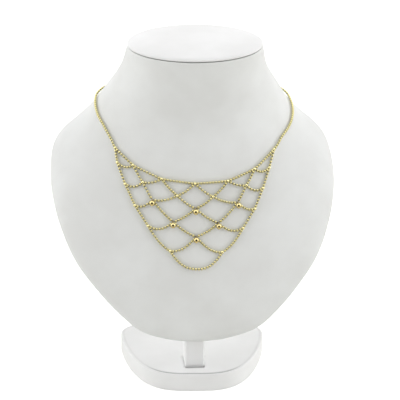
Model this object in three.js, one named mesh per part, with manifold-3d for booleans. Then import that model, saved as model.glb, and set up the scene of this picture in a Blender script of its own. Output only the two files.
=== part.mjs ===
// A ball chain net necklace, worn by a plain neck bust on a post and a low base.
// Millimetres, +Z up, the bust faces -Y.

import * as THREE from 'three';
import Module from 'manifold-3d';

const wasm = await Module();
wasm.setup();

// ---------- driving dimensions ----------

const gap = 0.3;

const chain = {
  beadDiameter: 2.1,
  linkDiameter: 0.5,
  taper: 2.9,
  sides: 8,
  step: 6.6,
};

const junction = {
  beadDiameter: 2.4,
  trimAtBead: 1.5,
  holdAtBead: 1.4,
  trimAtRing: 1.3,
  holdAtRing: 1,
};

const drop = {
  diameter: 4.4,
  tipDiameter: 1,
  ringRadius: 0.78,
  ringWire: 0.36,
  neckWidth: 0.7,
  below: 2.2,
  ahead: 2.5,
};

// The net hangs shifted to one side and askew: height changes by skew for each unit across.
const net = {
  shift: -3.4,
  skew: -0.05,
  swagSag: 0.09,
  edgeSwagSag: 0.2,
  lowerEdgeSag: 2.4,
  bottomSag: 12.4,
  bottomFullness: 2.5,
};

const clasp = {
  diameter: 3,
  length: 9,
  lift: 1.8,
};

// The rings lie closest where the shoulders turn up into the neck.
const bust = {
  around: 36,
  ringHeights: [
    36.5, 38, 41.5, 48, 58, 72, 88, 106, 124, 141, 156,
    167, 175, 181.5, 187.5, 193.5, 200, 207.5, 217, 230, 241, 252,
  ],
  topHeight: 252,
};

const cap = {
  rim: 2.9,
  dome: 2.9,
  edgeRound: 1.2,
};

const base = {
  height: 14,
  halfWidth: 55,
  sideFullness: 3.3,
  frontFullness: 1.45,
  sweepSteps: 30,
  frontReach: 21.6,
  widestBehindPost: 50.6,
  backReach: 66,
  backCorner: 15,
  turn: -4.3,
};

const post = {
  width: 14.4,
  depth: 16,
  edgeRound: 1.6,
  centreX: -3,
  centreY: -34.5,
  top: 62,
};

// Level sections of the bust: how far the front, the widest line and the back lie along Y.
const bustSections = [
  { height: 36.5, halfWidth: 6, front: -46.5, widest: -45, back: -40.5 },
  { height: 39, halfWidth: 22, front: -50, widest: -46, back: -33.5 },
  { height: 46, halfWidth: 42, front: -53, widest: -46.5, back: -25.5 },
  { height: 58, halfWidth: 57, front: -54.5, widest: -44.5, back: -15.5 },
  { height: 76, halfWidth: 74, front: -54.5, widest: -38.5, back: -2.5 },
  { height: 96, halfWidth: 90, front: -52, widest: -27.5, back: 11.5 },
  { height: 118, halfWidth: 100.5, front: -47, widest: -12.5, back: 26.5 },
  { height: 140, halfWidth: 106, front: -41.5, widest: 3.5, back: 39.5 },
  { height: 158, halfWidth: 106, front: -36.5, widest: 19.5, back: 48.5 },
  { height: 170, halfWidth: 102.5, front: -33.5, widest: 31.5, back: 53 },
  { height: 179, halfWidth: 95, front: -32, widest: 36.5, back: 55.5 },
  { height: 188, halfWidth: 84.5, front: -31, widest: 36.5, back: 56.5 },
  { height: 200, halfWidth: 73.5, front: -30.5, widest: 31.5, back: 55.5 },
  { height: 216, halfWidth: 64, front: -32, widest: 21.5, back: 52.5 },
  { height: 234, halfWidth: 54, front: -35.5, widest: 11.5, back: 49 },
  { height: 252, halfWidth: 49.5, front: -40.5, widest: 2.5, back: 45 },
];

// The net laid flat: how far each pair of junctions lies from its middle, and its height.
const junctions = {
  collar0: { across: 57.5, height: 179, sway: 0.55 },
  collar1: { across: 44, height: 168.5 },
  collar2: { across: 24, height: 161 },
  collar3: { across: 0, height: 159 },
  edge1: { across: 55, height: 168.5 },
  edge2: { across: 50, height: 155 },
  edge3: { across: 43.5, height: 141 },
  edge4: { across: 34.5, height: 127.5 },
  edge5: { across: 19, height: 110.5 },
  mesh1: { across: 37.5, height: 157.5 },
  mesh2: { across: 13, height: 150 },
  mesh3: { across: 31, height: 146 },
  mesh4: { across: 0, height: 141.5 },
  mesh5: { across: 16.5, height: 131.5 },
  mesh6: { across: 0, height: 121.5 },
};
const dropJunctions = ['mesh3', 'mesh4', 'mesh5', 'mesh6'];

// The way of the neck chain round the neck: degrees from the front, and height.
const neckRoute = [
  { angle: 33, height: 175.5 },
  { angle: 38, height: 179.5 },
  { angle: 44, height: 184.5 },
  { angle: 53, height: 189.5 },
  { angle: 69, height: 196 },
  { angle: 84, height: 201.5 },
  { angle: 96, height: 205 },
  { angle: 115, height: 208.5 },
  { angle: 145, height: 211.5 },
  { angle: 180, height: 213 },
];

const gold = new THREE.MeshStandardMaterial({
  name: 'polished_gold',
  color: 0xd9ab3c,
  metalness: 1,
  roughness: 0.2,
});
const leatherette = new THREE.MeshStandardMaterial({
  name: 'white_leatherette',
  color: 0xe8e8e6,
  metalness: 0,
  roughness: 0.6,
});

// ---------- curves and surfaces ----------

// A smooth curve through the rows of a table, read at any value of its first column.
function smoothColumn(rows, keyColumn, column) {
  const slopes = rows.map((row, i) => {
    const before = rows[Math.max(i - 1, 0)];
    const after = rows[Math.min(i + 1, rows.length - 1)];
    return (after[column] - before[column]) / (after[keyColumn] - before[keyColumn]);
  });
  return (key) => {
    const last = rows.length - 2;
    let i = 0;
    while (i < last && key > rows[i + 1][keyColumn]) {
      i += 1;
    }
    const span = rows[i + 1][keyColumn] - rows[i][keyColumn];
    const t = THREE.MathUtils.clamp((key - rows[i][keyColumn]) / span, 0, 1);
    const from = rows[i][column] * (1 + 2 * t) * (1 - t) ** 2;
    const to = rows[i + 1][column] * t * t * (3 - 2 * t);
    const leave = slopes[i] * span * t * (1 - t) ** 2;
    const arrive = slopes[i + 1] * span * t * t * (t - 1);
    return from + to + leave + arrive;
  };
}

const halfWidthAt = smoothColumn(bustSections, 'height', 'halfWidth');
const frontAt = smoothColumn(bustSections, 'height', 'front');
const widestAt = smoothColumn(bustSections, 'height', 'widest');
const backAt = smoothColumn(bustSections, 'height', 'back');

// A point of the bust's skin: angle 0 is the middle of the front, +90 degrees its +X side.
function bustPoint(angle, height) {
  const forward = Math.cos(angle);
  const reach = forward > 0 ? widestAt(height) - frontAt(height) : backAt(height) - widestAt(height);
  return new THREE.Vector3(
    halfWidthAt(height) * Math.sin(angle),
    widestAt(height) - reach * forward,
    height,
  );
}

function bustNormal(angle, height) {
  const nudge = 0.01;
  const around = bustPoint(angle + nudge, height).sub(bustPoint(angle - nudge, height));
  const up = bustPoint(angle, height + nudge).sub(bustPoint(angle, height - nudge));
  return around.cross(up).normalize();
}

// A place on the bust, lifted off its skin, with the skin's normal there.
function overBust(angle, height, lift) {
  const normal = bustNormal(angle, height);
  return { point: bustPoint(angle, height).addScaledVector(normal, lift), normal };
}

function overChest(x, height, lift) {
  return overBust(Math.asin(x / halfWidthAt(height)), height, lift);
}

// ---------- solids ----------

// A closed skin through rings of equal count, each end closed by a fan round its middle.
function loftRings(rings) {
  const count = rings[0].length;
  const positions = rings.flat();
  const faces = [];
  for (let i = 0; i < rings.length - 1; i += 1) {
    for (let j = 0; j < count; j += 1) {
      const a = i * count + j;
      const b = i * count + ((j + 1) % count);
      faces.push(a, b, b + count, a, b + count, a + count);
    }
  }
  const lastRing = (rings.length - 1) * count;
  const firstMiddle = positions.push(ringMiddle(rings[0])) - 1;
  const lastMiddle = positions.push(ringMiddle(rings.at(-1))) - 1;
  for (let j = 0; j < count; j += 1) {
    const next = (j + 1) % count;
    faces.push(next, j, firstMiddle, lastRing + j, lastRing + next, lastMiddle);
  }
  const geometry = new THREE.BufferGeometry();
  geometry.setFromPoints(positions);
  geometry.setIndex(faces);
  geometry.computeVertexNormals();
  return geometry;
}

function ringMiddle(ring) {
  const sum = new THREE.Vector3();
  for (const p of ring) {
    sum.add(p);
  }
  return sum.divideScalar(ring.length);
}

function toManifold(geometry) {
  const positions = geometry.attributes.position;
  const index = geometry.index
    ? geometry.index.array
    : Array.from({ length: positions.count }, (_, i) => i);
  const mesh = new wasm.Mesh({
    numProp: 3,
    vertProperties: Float32Array.from(positions.array),
    triVerts: Uint32Array.from(index),
  });
  mesh.merge();
  return new wasm.Manifold(mesh);
}

function fromManifold(manifold) {
  const mesh = manifold.getMesh();
  const geometry = new THREE.BufferGeometry();
  geometry.setAttribute('position', new THREE.BufferAttribute(Float32Array.from(mesh.vertProperties), 3));
  geometry.setIndex(Array.from(mesh.triVerts));
  geometry.computeVertexNormals();
  return geometry;
}

// Soldered pieces are one solid.
function solder(geometries) {
  return fromManifold(wasm.Manifold.union(geometries.map(toManifold)));
}

function ball(centre, diameter, around = 8, levels = 5) {
  return new THREE.SphereGeometry(diameter / 2, around, levels).translate(...centre.toArray());
}

// ---------- chain strands ----------

// A route is a list of places with distances along it; trims shorten it at either end.
function makeRoute(places, trimStart, trimEnd) {
  const along = [0];
  for (let i = 1; i < places.length; i += 1) {
    along.push(along[i - 1] + places[i].point.distanceTo(places[i - 1].point));
  }
  const from = trimStart;
  const length = along.at(-1) - trimStart - trimEnd;
  const placeAt = (distance) => {
    const s = THREE.MathUtils.clamp(from + distance, 0, along.at(-1));
    let i = 0;
    while (i < along.length - 2 && s > along[i + 1]) {
      i += 1;
    }
    const t = (s - along[i]) / (along[i + 1] - along[i]);
    return {
      point: places[i].point.clone().lerp(places[i + 1].point, t),
      normal: places[i].normal.clone().lerp(places[i + 1].normal, t).normalize(),
    };
  };
  return { length, placeAt };
}

// A chain as one tube. A thin end is link wire, held for a while before it widens.
function chainTube(route, startEnd, finishEnd) {
  const { beadDiameter, linkDiameter, taper, sides, step } = chain;
  const thin = linkDiameter / 2;
  const full = beadDiameter / 2;
  const from = startEnd.thin ? startEnd.hold + taper : 0;
  const to = route.length - (finishEnd.thin ? finishEnd.hold + taper : 0);
  const spans = Math.max(1, Math.round((to - from) / step));
  const stations = [];
  for (let i = 0; i <= spans; i += 1) {
    stations.push({ distance: THREE.MathUtils.lerp(from, to, i / spans), radius: full });
  }
  if (startEnd.thin) {
    stations.unshift({ distance: startEnd.hold, radius: thin });
    if (startEnd.hold > 0) {
      stations.unshift({ distance: 0, radius: thin });
    }
  }
  if (finishEnd.thin) {
    stations.push({ distance: route.length - finishEnd.hold, radius: thin });
    if (finishEnd.hold > 0) {
      stations.push({ distance: route.length, radius: thin });
    }
  }
  const rings = stations.map(({ distance, radius }) => {
    const { point, normal } = route.placeAt(distance);
    const ahead = route.placeAt(Math.min(distance + 0.2, route.length)).point;
    const behind = route.placeAt(Math.max(distance - 0.2, 0)).point;
    const tangent = ahead.sub(behind).normalize();
    const side = new THREE.Vector3().crossVectors(normal, tangent).normalize();
    const up = new THREE.Vector3().crossVectors(tangent, side);
    return Array.from({ length: sides }, (_, j) => {
      const turn = (2 * Math.PI * (j + 0.5)) / sides;
      return point.clone()
        .addScaledVector(side, radius * Math.cos(turn))
        .addScaledVector(up, radius * Math.sin(turn));
    });
  });
  return loftRings(rings);
}

// ---------- the net ----------

const netLift = junction.beadDiameter / 2 + gap;

// A junction of the hung net; sway is the share of the shift and skew that it takes.
function hung(name, side = 1) {
  const { across, height, sway = 1 } = junctions[name];
  const x = side * across;
  return { name, x: x + net.shift * sway, height: height + net.skew * sway * x };
}

function junctionPlace(spot) {
  return overChest(spot.x, spot.height, netLift);
}

// The chain between two junctions, laid over the chest and sagging between them.
function hangingPlaces(from, to, sag, fullness = 2, count = 40) {
  return Array.from({ length: count + 1 }, (_, i) => {
    const t = i / count;
    const dip = sag * (1 - Math.abs(2 * t - 1) ** fullness);
    const x = THREE.MathUtils.lerp(from.x, to.x, t);
    const height = THREE.MathUtils.lerp(from.height, to.height, t) - dip;
    return overChest(x, height, netLift);
  });
}

function swagSag(from, to, ratio) {
  const run = to.x - from.x;
  const rise = to.height - from.height;
  return (ratio * run * run) / Math.hypot(run, rise);
}

function holdsDrop(spot) {
  return dropJunctions.includes(spot.name);
}

// How a strand ends: soldered into a bead, held through a drop's ring, or meeting a junction.
const soldered = { trim: 0, thin: true, hold: junction.holdAtBead };
const throughRing = { trim: 0, thin: true, hold: junction.holdAtRing };

function meets(spot) {
  const trim = holdsDrop(spot) ? junction.trimAtRing : junction.trimAtBead;
  return { trim, thin: true, hold: 0 };
}

function strand(from, to, startEnd, finishEnd, sag, fullness) {
  const places = hangingPlaces(from, to, sag, fullness);
  return chainTube(makeRoute(places, startEnd.trim, finishEnd.trim), startEnd, finishEnd);
}

function junctionBead(spot) {
  return ball(junctionPlace(spot).point, junction.beadDiameter);
}

// A swag hangs from two junctions of the row above and carries the row below at its lowest point.
function swag(left, low, right) {
  const lowEnd = holdsDrop(low) ? throughRing : soldered;
  const bend = holdsDrop(low)
    ? ball(junctionPlace(low).point, chain.linkDiameter * 1.2, 6, 4)
    : junctionBead(low);
  return solder([
    strand(left, low, meets(left), lowEnd, swagSag(left, low, net.swagSag)),
    strand(low, right, lowEnd, meets(right), swagSag(low, right, net.swagSag)),
    bend,
  ]);
}

function edgeSwag(from, to) {
  return strand(from, to, meets(from), meets(to), swagSag(from, to, net.edgeSwagSag));
}

// A strand with the junction bead that it is soldered to.
function beadedStrand(from, to, sag = 0) {
  return solder([strand(from, to, soldered, meets(to), sag), junctionBead(from)]);
}

// ---------- the drops ----------

// Turns and places a piece made with its Z up the chest and its Y into it.
function seatOnChest(mesh, spot) {
  const { point, normal } = junctionPlace(spot);
  const inward = normal.clone().negate();
  const across = new THREE.Vector3().crossVectors(inward, new THREE.Vector3(0, 0, 1)).normalize();
  const up = new THREE.Vector3().crossVectors(across, inward);
  mesh.quaternion.setFromRotationMatrix(new THREE.Matrix4().makeBasis(across, inward, up));
  mesh.position.copy(point);
}

// Its ring lies midway between the two strands that it hangs on, so neither touches it.
function dropSolid(ringTilt) {
  const radius = drop.diameter / 2;
  const centre = new THREE.Vector3(0, -drop.ahead, -drop.below);
  const axis = centre.clone().normalize();
  const ring = new THREE.TorusGeometry(drop.ringRadius, drop.ringWire / 2, 4, 9);
  ring.rotateY(Math.PI / 2 + ringTilt);
  const from = axis.clone().multiplyScalar(drop.ringRadius);
  const to = centre.clone().addScaledVector(axis, 0.3 - radius);
  const neck = new THREE.CylinderGeometry(drop.neckWidth / 2, drop.neckWidth / 2, from.distanceTo(to), 6);
  neck.applyQuaternion(new THREE.Quaternion().setFromUnitVectors(new THREE.Vector3(0, 1, 0), axis));
  neck.translate(...from.lerp(to, 0.5).toArray());
  const tip = centre.clone().addScaledVector(axis, radius + drop.tipDiameter / 4);
  return solder([
    ball(centre, drop.diameter, 10, 7),
    ball(tip, drop.tipDiameter, 5, 4),
    neck,
    ring,
  ]);
}

function ringTiltAt(left, low, right) {
  const toLeft = new THREE.Vector2(left.x - low.x, left.height - low.height).normalize();
  const toRight = new THREE.Vector2(right.x - low.x, right.height - low.height).normalize();
  const between = toLeft.add(toRight);
  return Math.atan2(between.x, between.y);
}

// ---------- the neck chain ----------

const neckHeightAt = smoothColumn(neckRoute, 'angle', 'height');
const toDegrees = THREE.MathUtils.radToDeg;
const toRadians = THREE.MathUtils.degToRad;

function neckPlaces(side, count = 120) {
  const start = hung('collar0', side);
  const startAngle = toDegrees(Math.asin(Math.abs(start.x) / halfWidthAt(start.height)));
  const heightAt = (angle) => {
    const height = neckHeightAt(angle);
    const x = side * halfWidthAt(height) * Math.sin(toRadians(angle));
    return height + net.skew * junctions.collar0.sway * x;
  };
  const miss = start.height - heightAt(startAngle);
  return Array.from({ length: count + 1 }, (_, i) => {
    const angle = THREE.MathUtils.lerp(startAngle, 180, i / count);
    const joining = 1 - THREE.MathUtils.smoothstep(angle, startAngle, startAngle + 20);
    const backing = THREE.MathUtils.smoothstep(angle, 150, 175);
    const lift = THREE.MathUtils.lerp(netLift, clasp.lift, backing);
    return overBust(side * toRadians(angle), heightAt(angle) + miss * joining, lift);
  });
}

function neckChain(side) {
  const atClasp = { trim: clasp.length / 2 + gap, thin: true, hold: 0 };
  const atCollar = meets(hung('collar0', side));
  const route = makeRoute(neckPlaces(side), atCollar.trim, atClasp.trim);
  return chainTube(route, atCollar, atClasp);
}

function claspBarrel() {
  const { point } = overBust(Math.PI, neckRoute.at(-1).height, clasp.lift);
  const barrel = new THREE.CylinderGeometry(clasp.diameter / 2, clasp.diameter / 2, clasp.length, 12);
  return barrel.rotateZ(Math.PI / 2).translate(...point.toArray());
}

// ---------- the display bust ----------

function bustSolid(grow = 0) {
  return loftRings(bust.ringHeights.map((height) => (
    Array.from({ length: bust.around }, (_, j) => {
      const angle = (2 * Math.PI * (j + 0.5)) / bust.around;
      return bustPoint(angle, height).addScaledVector(bustNormal(angle, height), grow);
    })
  )));
}

// The cap follows the neck's outline: a low rim that rises to a gentle dome.
function capSolid() {
  const seat = bust.topHeight + gap;
  const middle = (frontAt(bust.topHeight) + backAt(bust.topHeight)) / 2;
  const profile = [
    { share: 0.98, height: seat },
    { share: 1, height: seat + cap.edgeRound },
    { share: 0.96, height: seat + cap.rim },
    { share: 0.77, height: seat + cap.rim + cap.dome * 0.52 },
    { share: 0.42, height: seat + cap.rim + cap.dome * 0.91 },
    { share: 0.16, height: seat + cap.rim + cap.dome },
  ];
  return loftRings(profile.map(({ share, height }) => (
    Array.from({ length: bust.around }, (_, j) => {
      const rim = bustPoint((2 * Math.PI * (j + 0.5)) / bust.around, bust.topHeight);
      return new THREE.Vector3(rim.x * share, middle + (rim.y - middle) * share, height);
    })
  )));
}

function roundedRectangle(width, depth, radius) {
  const shape = new THREE.Shape();
  const x = width / 2 - radius;
  const y = depth / 2 - radius;
  shape.absarc(x, -y, radius, -Math.PI / 2, 0);
  shape.absarc(x, y, radius, 0, Math.PI / 2);
  shape.absarc(-x, y, radius, Math.PI / 2, Math.PI);
  shape.absarc(-x, -y, radius, Math.PI, 1.5 * Math.PI);
  return shape;
}

// The post runs up under the chest and is cut to the slope of its underside.
function postSolid() {
  const shape = roundedRectangle(post.width, post.depth, post.edgeRound);
  const foot = base.height + gap;
  const column = new THREE.ExtrudeGeometry(shape, {
    depth: post.top - foot,
    bevelEnabled: false,
    curveSegments: 3,
  });
  column.translate(post.centreX, post.centreY, foot);
  return fromManifold(toManifold(column).subtract(toManifold(bustSolid(gap))));
}

// The base in plan: a blunt front that sweeps back to its widest line, and a straight back.
function baseSolid() {
  const { halfWidth, frontReach, widestBehindPost, backReach, backCorner } = base;
  const { sideFullness, frontFullness, sweepSteps } = base;
  const shape = new THREE.Shape();
  for (let i = 0; i <= sweepSteps; i += 1) {
    const t = (Math.PI * i) / sweepSteps;
    const across = Math.sign(Math.cos(t)) * Math.abs(Math.cos(t)) ** (2 / sideFullness);
    const forward = Math.abs(Math.sin(t)) ** (2 / frontFullness);
    const x = -halfWidth * across;
    const y = widestBehindPost - (widestBehindPost + frontReach) * forward;
    if (i === 0) {
      shape.moveTo(x, y);
    } else {
      shape.lineTo(x, y);
    }
  }
  shape.absarc(halfWidth - backCorner, backReach - backCorner, backCorner, 0, Math.PI / 2);
  shape.absarc(backCorner - halfWidth, backReach - backCorner, backCorner, Math.PI / 2, Math.PI);
  return new THREE.ExtrudeGeometry(shape, {
    depth: base.height,
    bevelEnabled: false,
    curveSegments: 5,
  });
}

// ---------- the assembly ----------

const group = new THREE.Group();
group.name = 'ball_chain_net_necklace_on_bust';

function addPiece(name, geometry, material, parent = group) {
  const mesh = new THREE.Mesh(geometry, material);
  mesh.name = name;
  parent.add(mesh);
  return mesh;
}

// outer and inner name the junctions that a swag hangs from; alike means one across the middle.
const swags = [
  { name: 'swag_1_outer', outer: 'collar1', low: 'mesh1', inner: 'collar2' },
  { name: 'swag_1_inner', outer: 'collar2', low: 'mesh2', inner: 'collar3' },
  { name: 'swag_2_outer', outer: 'mesh1', low: 'mesh3', inner: 'mesh2' },
  { name: 'swag_2_middle', outer: 'mesh2', low: 'mesh4', inner: 'mesh2' },
  { name: 'swag_3', outer: 'mesh3', low: 'mesh5', inner: 'mesh4' },
  { name: 'swag_4_middle', outer: 'mesh5', low: 'mesh6', inner: 'mesh5' },
];
const edgeSwags = [
  { name: 'swag_1_edge', from: 'edge1', to: 'collar1' },
  { name: 'swag_2_edge', from: 'edge2', to: 'mesh1' },
  { name: 'swag_3_edge', from: 'edge3', to: 'mesh3' },
  { name: 'swag_4_edge', from: 'edge4', to: 'mesh5' },
  { name: 'swag_5_edge', from: 'edge5', to: 'mesh6' },
];
const sides = [
  { label: 'left', side: -1 },
  { label: 'right', side: 1 },
];

function addCollarAndEdge({ label, side }) {
  for (const k of [0, 1, 2]) {
    const from = hung(`collar${k}`, side);
    const to = hung(`collar${k + 1}`, side);
    const holdsMiddle = k === 2 && side < 0;
    const geometry = holdsMiddle
      ? solder([strand(from, to, soldered, soldered, 0), junctionBead(from), junctionBead(to)])
      : beadedStrand(from, to);
    addPiece(`collar_${label}_${k + 1}`, geometry, gold);
  }
  for (const k of [1, 2, 3, 4, 5]) {
    const above = k === 1 ? hung('collar0', side) : hung(`edge${k - 1}`, side);
    const sag = k === 5 ? net.lowerEdgeSag : 0;
    addPiece(`edge_${label}_${k}`, beadedStrand(hung(`edge${k}`, side), above, sag), gold);
  }
}

function addSwag({ name, outer, low, inner }, suffix, side) {
  const across = outer === inner;
  const spots = [hung(outer, side), hung(low, side), hung(inner, across ? -side : side)];
  addPiece(name + suffix, swag(...spots), gold);
  if (holdsDrop(spots[1])) {
    const mesh = addPiece(name.replace('swag', 'drop') + suffix, dropSolid(ringTiltAt(...spots)), gold);
    seatOnChest(mesh, spots[1]);
  }
}

addPiece('bust_form', bustSolid(), leatherette);
addPiece('neck_cap', capSolid(), leatherette);
addPiece('stand_post', postSolid(), leatherette);

const stand = new THREE.Group();
stand.position.set(post.centreX, post.centreY, 0);
stand.rotation.z = toRadians(base.turn);
group.add(stand);
addPiece('stand_base', baseSolid(), leatherette, stand);

for (const one of sides) {
  addPiece(`neck_chain_${one.label}`, neckChain(one.side), gold);
  addCollarAndEdge(one);
  for (const { name, from, to } of edgeSwags) {
    addPiece(`${name}_${one.label}`, edgeSwag(hung(from, one.side), hung(to, one.side)), gold);
  }
}
for (const row of swags) {
  if (row.outer === row.inner) {
    addSwag(row, '', -1);
  } else {
    for (const { label, side } of sides) {
      addSwag(row, `_${label}`, side);
    }
  }
}

const bottomEnds = [hung('edge5', -1), hung('edge5', 1)];
const bottomStrand = strand(
  ...bottomEnds,
  meets(bottomEnds[0]),
  meets(bottomEnds[1]),
  net.bottomSag,
  net.bottomFullness,
);
addPiece('edge_bottom', bottomStrand, gold);
addPiece('clasp', claspBarrel(), gold);

export default group;
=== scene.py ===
from math import asin, atan2, cos, degrees, hypot, pi, radians, sin

import bpy
from mathutils import Matrix, Vector


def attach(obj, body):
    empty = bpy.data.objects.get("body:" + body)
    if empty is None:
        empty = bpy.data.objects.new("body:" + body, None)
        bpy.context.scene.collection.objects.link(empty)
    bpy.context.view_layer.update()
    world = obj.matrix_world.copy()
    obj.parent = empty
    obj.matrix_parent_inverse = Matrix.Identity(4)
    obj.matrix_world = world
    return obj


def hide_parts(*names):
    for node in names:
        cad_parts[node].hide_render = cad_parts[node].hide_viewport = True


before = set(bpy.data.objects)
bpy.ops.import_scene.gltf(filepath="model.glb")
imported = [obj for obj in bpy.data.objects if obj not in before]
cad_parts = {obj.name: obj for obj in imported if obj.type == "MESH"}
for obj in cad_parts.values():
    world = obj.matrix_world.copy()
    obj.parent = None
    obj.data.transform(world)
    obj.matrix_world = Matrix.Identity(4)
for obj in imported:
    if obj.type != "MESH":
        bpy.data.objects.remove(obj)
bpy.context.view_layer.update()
mm = 0.001  # the dictionaries are in millimetres and degrees, every mesh and node is in metres

# The camera stands in front of the bust, a little to its right hand and above it.
cameraView = {"azimuth": -6, "elevation": 21.5, "roll": 0.5, "distance": 1500, "lens": 180,
              "lookAt": (0, 6.5, 140), "slideRight": 4.95, "slideDown": 10.35, "nearest": 50,
              "farthest": 20000}


# The way towards an azimuth and an elevation, where azimuth 0 is straight in front of the bust.
def wayTowards(azimuth, elevation):
    a, e = radians(azimuth), radians(elevation)
    return Vector((sin(a) * cos(e), -cos(a) * cos(e), sin(e)))


def makeCamera():
    azimuth, roll = radians(cameraView["azimuth"]), radians(cameraView["roll"])
    back = wayTowards(cameraView["azimuth"], cameraView["elevation"])
    level = Vector((cos(azimuth), sin(azimuth), 0))
    upright = back.cross(level)
    right = level * cos(roll) + upright * sin(roll)
    up = upright * cos(roll) - level * sin(roll)
    look = Vector(cameraView["lookAt"])
    place = look + back * cameraView["distance"]
    target = look + right * cameraView["slideRight"] - up * cameraView["slideDown"]
    back = (place - target).normalized()
    right = (right - back * right.dot(back)).normalized()
    up = back.cross(right)
    camera = bpy.data.objects.new("camera", bpy.data.cameras.new("camera"))
    bpy.context.collection.objects.link(camera)
    turn = Matrix((right, up, back)).transposed().to_4x4()
    camera.matrix_world = Matrix.Translation(place * mm) @ turn
    camera.data.lens = cameraView["lens"]
    camera.data.clip_start = cameraView["nearest"] * mm
    camera.data.clip_end = cameraView["farthest"] * mm
    bpy.context.scene.camera = camera


makeCamera()
print("camera placed")


# A tree with inputs as (label, kind, value) and outputs as (label, kind), and its two end nodes.
def newTree(name, kind, inputs, outputs):
    tree = bpy.data.node_groups.new(name, kind)
    for label, socket, value in inputs:
        item = tree.interface.new_socket(name=label, in_out="INPUT", socket_type=socket)
        if value is not None:
            item.default_value = value
    for label, socket in outputs:
        tree.interface.new_socket(name=label, in_out="OUTPUT", socket_type=socket)
    return tree, tree.nodes.new("NodeGroupInput"), tree.nodes.new("NodeGroupOutput")


# A node with its settings as words and its sockets as (socket, value or link) pairs.
def addNode(tree, kind, sockets=(), **settings):
    node = tree.nodes.new(kind)
    for key, value in settings.items():
        setattr(node, key, value)
    for socket, value in sockets:
        if isinstance(value, bpy.types.NodeSocket):
            tree.links.new(value, node.inputs[socket])
        else:
            node.inputs[socket].default_value = value
    return node


def mathNode(tree, operation, a, b=0.0):
    return addNode(tree, "ShaderNodeMath", ((0, a), (1, b)), operation=operation).outputs[0]


# Pebbled leatherette: a height for the bump and a slow mask for colour and gloss.
def leatherGrainGroup():
    tree, given, result = newTree("leatherGrain", "ShaderNodeTree", (
        ("Grain Size", "NodeSocketFloat", 0.0009),
        ("Crease Size", "NodeSocketFloat", 0.007),
        ("Mottle Size", "NodeSocketFloat", 0.045),
        ("Smoothest", "NodeSocketFloat", 0.42),
        ("Roughest", "NodeSocketFloat", 0.62),
    ), (("Height", "NodeSocketFloat"), ("Mottle", "NodeSocketFloat"), ("Roughness", "NodeSocketFloat")))
    place = addNode(tree, "ShaderNodeTexCoord").outputs["Object"]
    grainScale = mathNode(tree, "DIVIDE", 1.0, given.outputs["Grain Size"])
    creaseScale = mathNode(tree, "DIVIDE", 1.0, given.outputs["Crease Size"])
    mottleScale = mathNode(tree, "DIVIDE", 1.0, given.outputs["Mottle Size"])
    crease = addNode(tree, "ShaderNodeTexNoise",
                     (("Vector", place), ("Scale", creaseScale), ("Detail", 3.0)))
    sway = (0.0012, 0.0012, 0.0012)  # how far a crease pushes the pebbles out of line
    bent = addNode(tree, "ShaderNodeVectorMath", ((0, crease.outputs["Color"]), (1, sway), (2, place)),
                   operation="MULTIPLY_ADD").outputs[0]
    pebble = addNode(tree, "ShaderNodeTexVoronoi",
                     (("Vector", bent), ("Scale", grainScale), ("Randomness", 0.9)),
                     feature="SMOOTH_F1").outputs["Distance"]
    fineScale = mathNode(tree, "MULTIPLY", grainScale, 3.0)  # pores a third of a pebble wide
    fine = addNode(tree, "ShaderNodeTexNoise", (("Vector", place), ("Scale", fineScale), ("Detail", 2.0)))
    mottle = addNode(tree, "ShaderNodeTexNoise",
                     (("Vector", place), ("Scale", mottleScale), ("Detail", 4.0), ("Roughness", 0.55)))
    height = mathNode(tree, "SUBTRACT", mathNode(tree, "MULTIPLY", fine.outputs["Fac"], 0.25), pebble)
    height = mathNode(tree, "ADD", height, mathNode(tree, "MULTIPLY", crease.outputs["Fac"], 0.35))
    rough = addNode(tree, "ShaderNodeMapRange", (
        ("Value", mathNode(tree, "ADD", mottle.outputs["Fac"], mathNode(tree, "MULTIPLY", pebble, 0.3))),
        ("From Min", 0.3), ("From Max", 0.95), ("To Min", given.outputs["Smoothest"]),
        ("To Max", given.outputs["Roughest"])))
    tree.links.new(height, result.inputs["Height"])
    tree.links.new(mottle.outputs["Fac"], result.inputs["Mottle"])
    tree.links.new(rough.outputs["Result"], result.inputs["Roughness"])
    return tree


# Hand polish on gold: faint swirls for the bump and a mask that warms the colour.
def polishMarksGroup():
    tree, given, result = newTree("polishMarks", "ShaderNodeTree", (
        ("Mark Size", "NodeSocketFloat", 0.00035),
        ("Patch Size", "NodeSocketFloat", 0.005),
        ("Dullest", "NodeSocketFloat", 0.24),
        ("Brightest", "NodeSocketFloat", 0.14),
    ), (("Height", "NodeSocketFloat"), ("Patches", "NodeSocketFloat"), ("Roughness", "NodeSocketFloat")))
    place = addNode(tree, "ShaderNodeTexCoord").outputs["Object"]
    markScale = mathNode(tree, "DIVIDE", 1.0, given.outputs["Mark Size"])
    patchScale = mathNode(tree, "DIVIDE", 1.0, given.outputs["Patch Size"])
    marks = addNode(tree, "ShaderNodeTexNoise",
                    (("Vector", place), ("Scale", markScale), ("Detail", 3.0), ("Distortion", 1.2)))
    patches = addNode(tree, "ShaderNodeTexNoise",
                      (("Vector", place), ("Scale", patchScale), ("Detail", 2.0)))
    rough = addNode(tree, "ShaderNodeMapRange", (
        ("Value", patches.outputs["Fac"]), ("From Min", 0.3), ("From Max", 0.7),
        ("To Min", given.outputs["Brightest"]), ("To Max", given.outputs["Dullest"])))
    tree.links.new(marks.outputs["Fac"], result.inputs["Height"])
    tree.links.new(patches.outputs["Fac"], result.inputs["Patches"])
    tree.links.new(rough.outputs["Result"], result.inputs["Roughness"])
    return tree


def newMaterial(name):
    material = bpy.data.materials.new(name)
    material.use_nodes = True
    tree = material.node_tree
    return material, tree, tree.nodes["Principled BSDF"]


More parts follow.
